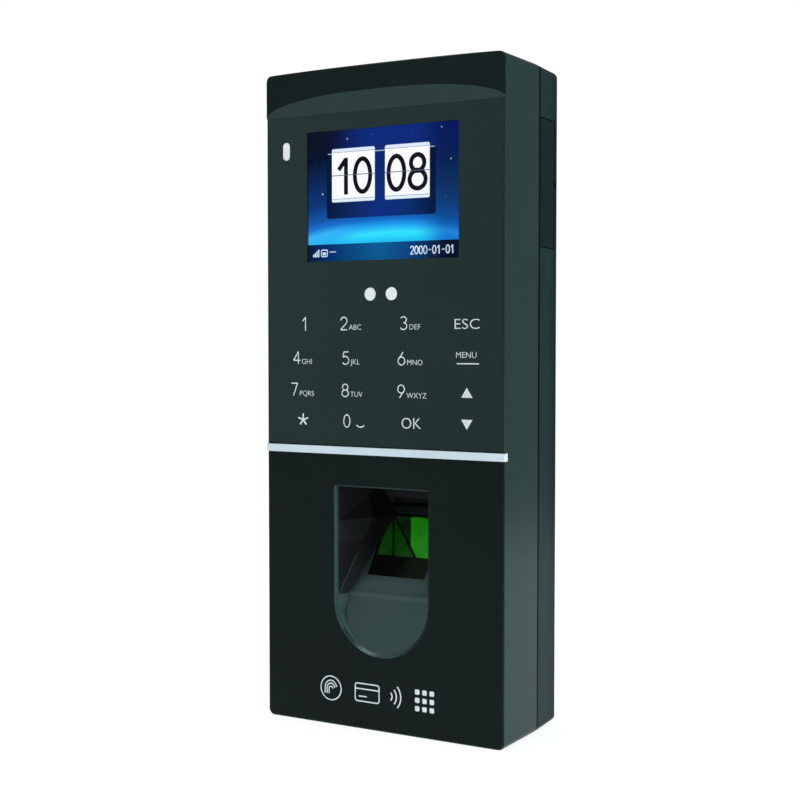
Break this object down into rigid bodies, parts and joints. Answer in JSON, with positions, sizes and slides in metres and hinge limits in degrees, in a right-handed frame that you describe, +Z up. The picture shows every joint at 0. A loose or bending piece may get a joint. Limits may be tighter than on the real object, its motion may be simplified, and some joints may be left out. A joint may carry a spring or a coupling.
{
  "type": "fingerprint scanner terminal",
  "caption": "Upright wall terminal with a colour screen, touch keys and an optical finger well, hung on a hooked steel wall plate, with a hinged side port door.",
  "frame": {"origin": "on the wall, at the centre of the wall plate's four-screw pattern", "axes": "+X to the user's right as they face it, +Y into the wall (the front faces -Y), +Z up"},
  "size_m": [0.0762, 0.0346, 0.1842],
  "materials": {
    "shell_plastic": "fine satin moulded texture",
    "rear_plastic": "fine satin moulded texture",
    "upper_panel": "tinted hard-coated sheet",
    "lower_panel": "satin hard-coated sheet",
    "trim_silver": "pale silver lacquer",
    "clear_window": "clear polished",
    "white_lens": "frosted white",
    "black_foam": "closed-cell foam",
    "display_glass": "lit colour panel",
    "white_plastic": "natural nylon",
    "ribbon_film": "amber film",
    "circuit_board": "solder mask",
    "frosted_guide": "frosted clear",
    "copper_trace": "etched copper",
    "guide_plastic": "smooth satin",
    "sensor_black": "polished black",
    "sensor_glass": "optical glass lit green",
    "black_plastic": "moulded",
    "green_light": "lit",
    "chip_black": "epoxy",
    "relay_blue": "moulded",
    "contact_gold": "gold flash",
    "wire_black": "insulated wire",
    "button_orange": "moulded",
    "door_plastic": "satin moulded",
    "zinc_steel": "zinc-plated sheet",
    "bright_steel": "bright",
    "brass": "machined"
  },
  "bodies": {
    "wall_bracket": {"wall_plate": "zinc_steel", "security_screw": "bright_steel"},
    "terminal": {"front_shell": "shell_plastic", "rear_shell": "rear_plastic", "upper_panel": "upper_panel", "lower_panel": "lower_panel", "trim_strip": "trim_silver", "display_window": "clear_window", "status_light_pipe": "white_lens", "indicator_lenses": "white_lens", "display_gasket": "black_foam", "display_cell": "display_glass", "display_backlight": "white_plastic", "display_frame": "bright_steel", "display_ribbon": "ribbon_film", "touch_key_board": "circuit_board", "key_light_guide": "frosted_guide", "key_ribbon": "ribbon_film", "antenna_board": "circuit_board", "antenna_coil": "copper_trace", "finger_guide": "guide_plastic", "guide_screws": "bright_steel", "sensor_bezel": "sensor_black", "sensor_prism": "sensor_glass", "sensor_housing": "black_plastic", "sensor_lens": "black_plastic", "sensor_camera_board": "circuit_board", "sensor_light_board": "green_light", "sensor_ribbon": "ribbon_film", "main_board": "circuit_board", "board_screws": "bright_steel", "processor_can": "bright_steel", "memory_chips": "chip_black", "relay": "relay_blue", "coin_cell_holder": "black_plastic", "coin_cell": "bright_steel", "network_socket": "bright_steel", "network_contacts": "contact_gold", "wiring_sockets": "white_plastic", "wiring_pins": "contact_gold", "speaker": "black_plastic", "speaker_gasket": "black_foam", "speaker_lead": "wire_black", "port_board": "circuit_board", "usb_socket": "bright_steel", "usb_tongue": "white_plastic", "reset_switch": "bright_steel", "port_ribbon": "ribbon_film", "port_door_pin": "bright_steel", "tamper_switch": "black_plastic", "case_screws": "bright_steel", "case_inserts": "brass", "lock_insert": "brass"},
    "port_door": {"port_door": "door_plastic"},
    "tamper_plunger": {"tamper_plunger": "white_plastic"},
    "reset_button": {"reset_button": "button_orange"}
  },
  "joints": [
    {"name": "terminal_lift", "type": "slide", "parent": "wall_bracket", "child": "terminal", "axis": [0, 0, 1], "range_m": [0, 0.007]},
    {"name": "port_door_hinge", "type": "hinge", "parent": "terminal", "child": "port_door", "pos_m": [0.03695, -0.0106, 0.06], "axis": [0, 0, -1], "range_deg": [0, 100]},
    {"name": "tamper_plunger_slide", "type": "slide", "parent": "terminal", "child": "tamper_plunger", "axis": [0, 1, 0], "range_m": [-0.0006, 0.0015], "stiffness_N_per_m": 150},
    {"name": "reset_button_slide", "type": "slide", "parent": "terminal", "child": "reset_button", "axis": [-1, 0, 0], "range_m": [0, 0.0005], "stiffness_N_per_m": 300}
  ]
}
